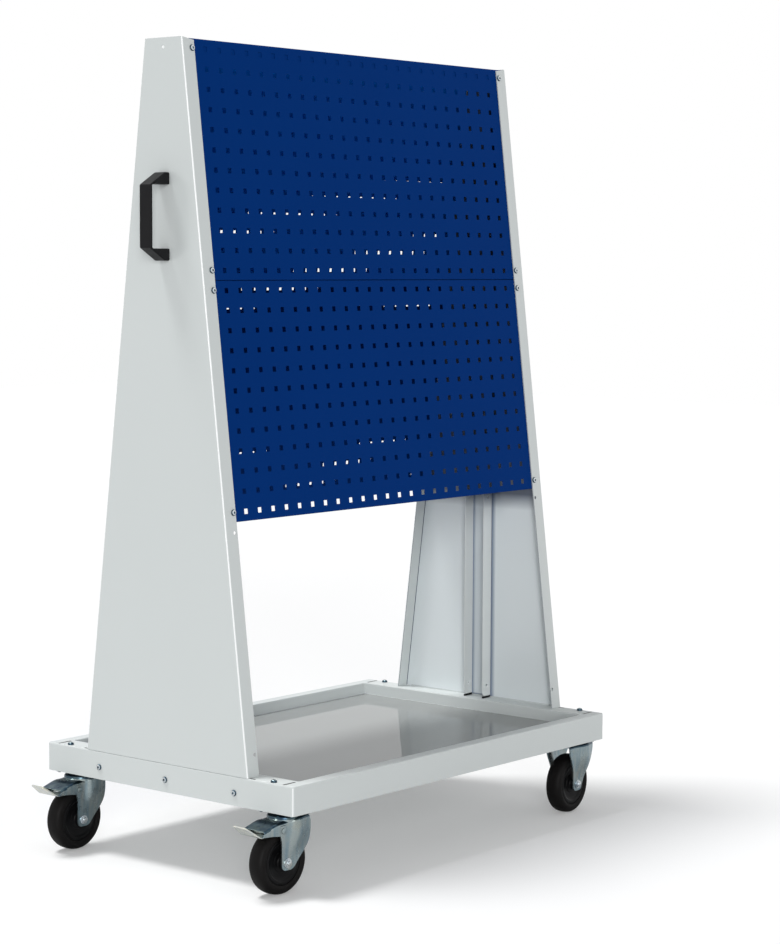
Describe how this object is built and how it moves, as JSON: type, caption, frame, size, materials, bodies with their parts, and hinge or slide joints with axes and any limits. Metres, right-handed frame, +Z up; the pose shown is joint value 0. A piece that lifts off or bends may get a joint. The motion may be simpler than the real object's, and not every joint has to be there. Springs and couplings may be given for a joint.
{
  "type": "mobile pegboard trolley",
  "caption": "Mobile pegboard trolley: a shallow steel tray on braked swivel castors, tapering end panels and sloping perforated panels on both long sides, with a pull handle.",
  "frame": {"origin": "on the floor, at the centre of the overall box seen from above; the trolley's own middle lies 40 mm to +X of it, because the brake pedals reach out at the -X end", "axes": "+X along the trolley's length, away from the handle and the braked castors; +Y towards the rear long side; +Z up"},
  "size_m": [1.0849, 0.661, 1.594],
  "materials": {
    "grey_paint": "light grey satin powder coat",
    "blue_paint": "gentian blue satin powder coat",
    "zinc": "bright zinc plated pressed steel",
    "handle_plastic": "black satin moulded plastic",
    "wheel_plastic": "dark moulded polypropylene",
    "tyre_rubber": "black solid rubber"
  },
  "bodies": {
    "trolley": {"base_tray": "grey_paint", "end_panel_left": "grey_paint", "end_panel_right": "grey_paint", "inner_channel_left": "grey_paint", "inner_channel_right": "grey_paint", "front_panel_upper": "blue_paint", "front_panel_lower": "blue_paint", "rear_panel_upper": "blue_paint", "rear_panel_lower": "blue_paint", "handle": "handle_plastic", "handle_screw_1": "zinc", "handle_screw_2": "zinc", "front_left_panel_screw_1": "zinc", "front_left_panel_screw_2": "zinc", "front_left_panel_screw_3": "zinc", "front_left_panel_screw_4": "zinc", "front_right_panel_screw_1": "zinc", "front_right_panel_screw_2": "zinc", "front_right_panel_screw_3": "zinc", "front_right_panel_screw_4": "zinc", "rear_left_panel_screw_1": "zinc", "rear_left_panel_screw_2": "zinc", "rear_left_panel_screw_3": "zinc", "rear_left_panel_screw_4": "zinc", "rear_right_panel_screw_1": "zinc", "rear_right_panel_screw_2": "zinc", "rear_right_panel_screw_3": "zinc", "rear_right_panel_screw_4": "zinc", "left_rail_screw_1": "zinc", "left_rail_screw_2": "zinc", "left_rail_screw_3": "zinc", "right_rail_screw_1": "zinc", "right_rail_screw_2": "zinc", "right_rail_screw_3": "zinc", "corner_bolt_1": "zinc", "corner_bolt_2": "zinc", "corner_bolt_3": "zinc", "corner_bolt_4": "zinc", "castor_plate_front_left": "zinc", "castor_plate_rear_left": "zinc", "castor_plate_front_right": "zinc", "castor_plate_rear_right": "zinc"},
    "swivel_front_left": {"castor_fork_front_left": "zinc", "axle_bolt_front_left": "zinc"},
    "wheel_front_left": {"wheel_centre_front_left": "wheel_plastic", "tyre_front_left": "tyre_rubber"},
    "pedal_front_left": {"brake_pedal_front_left": "zinc"},
    "swivel_rear_left": {"castor_fork_rear_left": "zinc", "axle_bolt_rear_left": "zinc"},
    "wheel_rear_left": {"wheel_centre_rear_left": "wheel_plastic", "tyre_rear_left": "tyre_rubber"},
    "pedal_rear_left": {"brake_pedal_rear_left": "zinc"},
    "swivel_front_right": {"castor_fork_front_right": "zinc", "axle_bolt_front_right": "zinc"},
    "wheel_front_right": {"wheel_centre_front_right": "wheel_plastic", "tyre_front_right": "tyre_rubber"},
    "swivel_rear_right": {"castor_fork_rear_right": "zinc", "axle_bolt_rear_right": "zinc"},
    "wheel_rear_right": {"wheel_centre_rear_right": "wheel_plastic", "tyre_rear_right": "tyre_rubber"}
  },
  "joints": [
    {"name": "swivel_turn_front_left", "type": "hinge", "parent": "trolley", "child": "swivel_front_left", "pos_m": [-0.42231, -0.2755, 0.15], "axis": [0, 0, 1], "continuous": true},
    {"name": "wheel_spin_front_left", "type": "hinge", "parent": "swivel_front_left", "child": "wheel_front_left", "pos_m": [-0.44228, -0.27445, 0.0625], "axis": [0.0523, 0.9986, 0], "continuous": true},
    {"name": "pedal_press_front_left", "type": "hinge", "parent": "swivel_front_left", "child": "pedal_front_left", "pos_m": [-0.45427, -0.27382, 0.125], "axis": [-0.0523, -0.9986, 0], "range_deg": [0, 8]},
    {"name": "swivel_turn_rear_left", "type": "hinge", "parent": "trolley", "child": "swivel_rear_left", "pos_m": [-0.42231, 0.2755, 0.15], "axis": [0, 0, 1], "continuous": true},
    {"name": "wheel_spin_rear_left", "type": "hinge", "parent": "swivel_rear_left", "child": "wheel_rear_left", "pos_m": [-0.44231, 0.2755, 0.0625], "axis": [0, 1, 0], "continuous": true},
    {"name": "pedal_press_rear_left", "type": "hinge", "parent": "swivel_rear_left", "child": "pedal_rear_left", "pos_m": [-0.45431, 0.2755, 0.125], "axis": [0, -1, 0], "range_deg": [0, 8]},
    {"name": "swivel_turn_front_right", "type": "hinge", "parent": "trolley", "child": "swivel_front_right", "pos_m": [0.49969, -0.2755, 0.15], "axis": [0, 0, 1], "continuous": true},
    {"name": "wheel_spin_front_right", "type": "hinge", "parent": "swivel_front_right", "child": "wheel_front_right", "pos_m": [0.47974, -0.2769, 0.0625], "axis": [-0.0698, 0.9976, 0], "continuous": true},
    {"name": "swivel_turn_rear_right", "type": "hinge", "parent": "trolley", "child": "swivel_rear_right", "pos_m": [0.49969, 0.2755, 0.15], "axis": [0, 0, 1], "continuous": true},
    {"name": "wheel_spin_rear_right", "type": "hinge", "parent": "swivel_rear_right", "child": "wheel_rear_right", "pos_m": [0.47972, 0.27655, 0.0625], "axis": [0.0523, 0.9986, 0], "continuous": true}
  ]
}
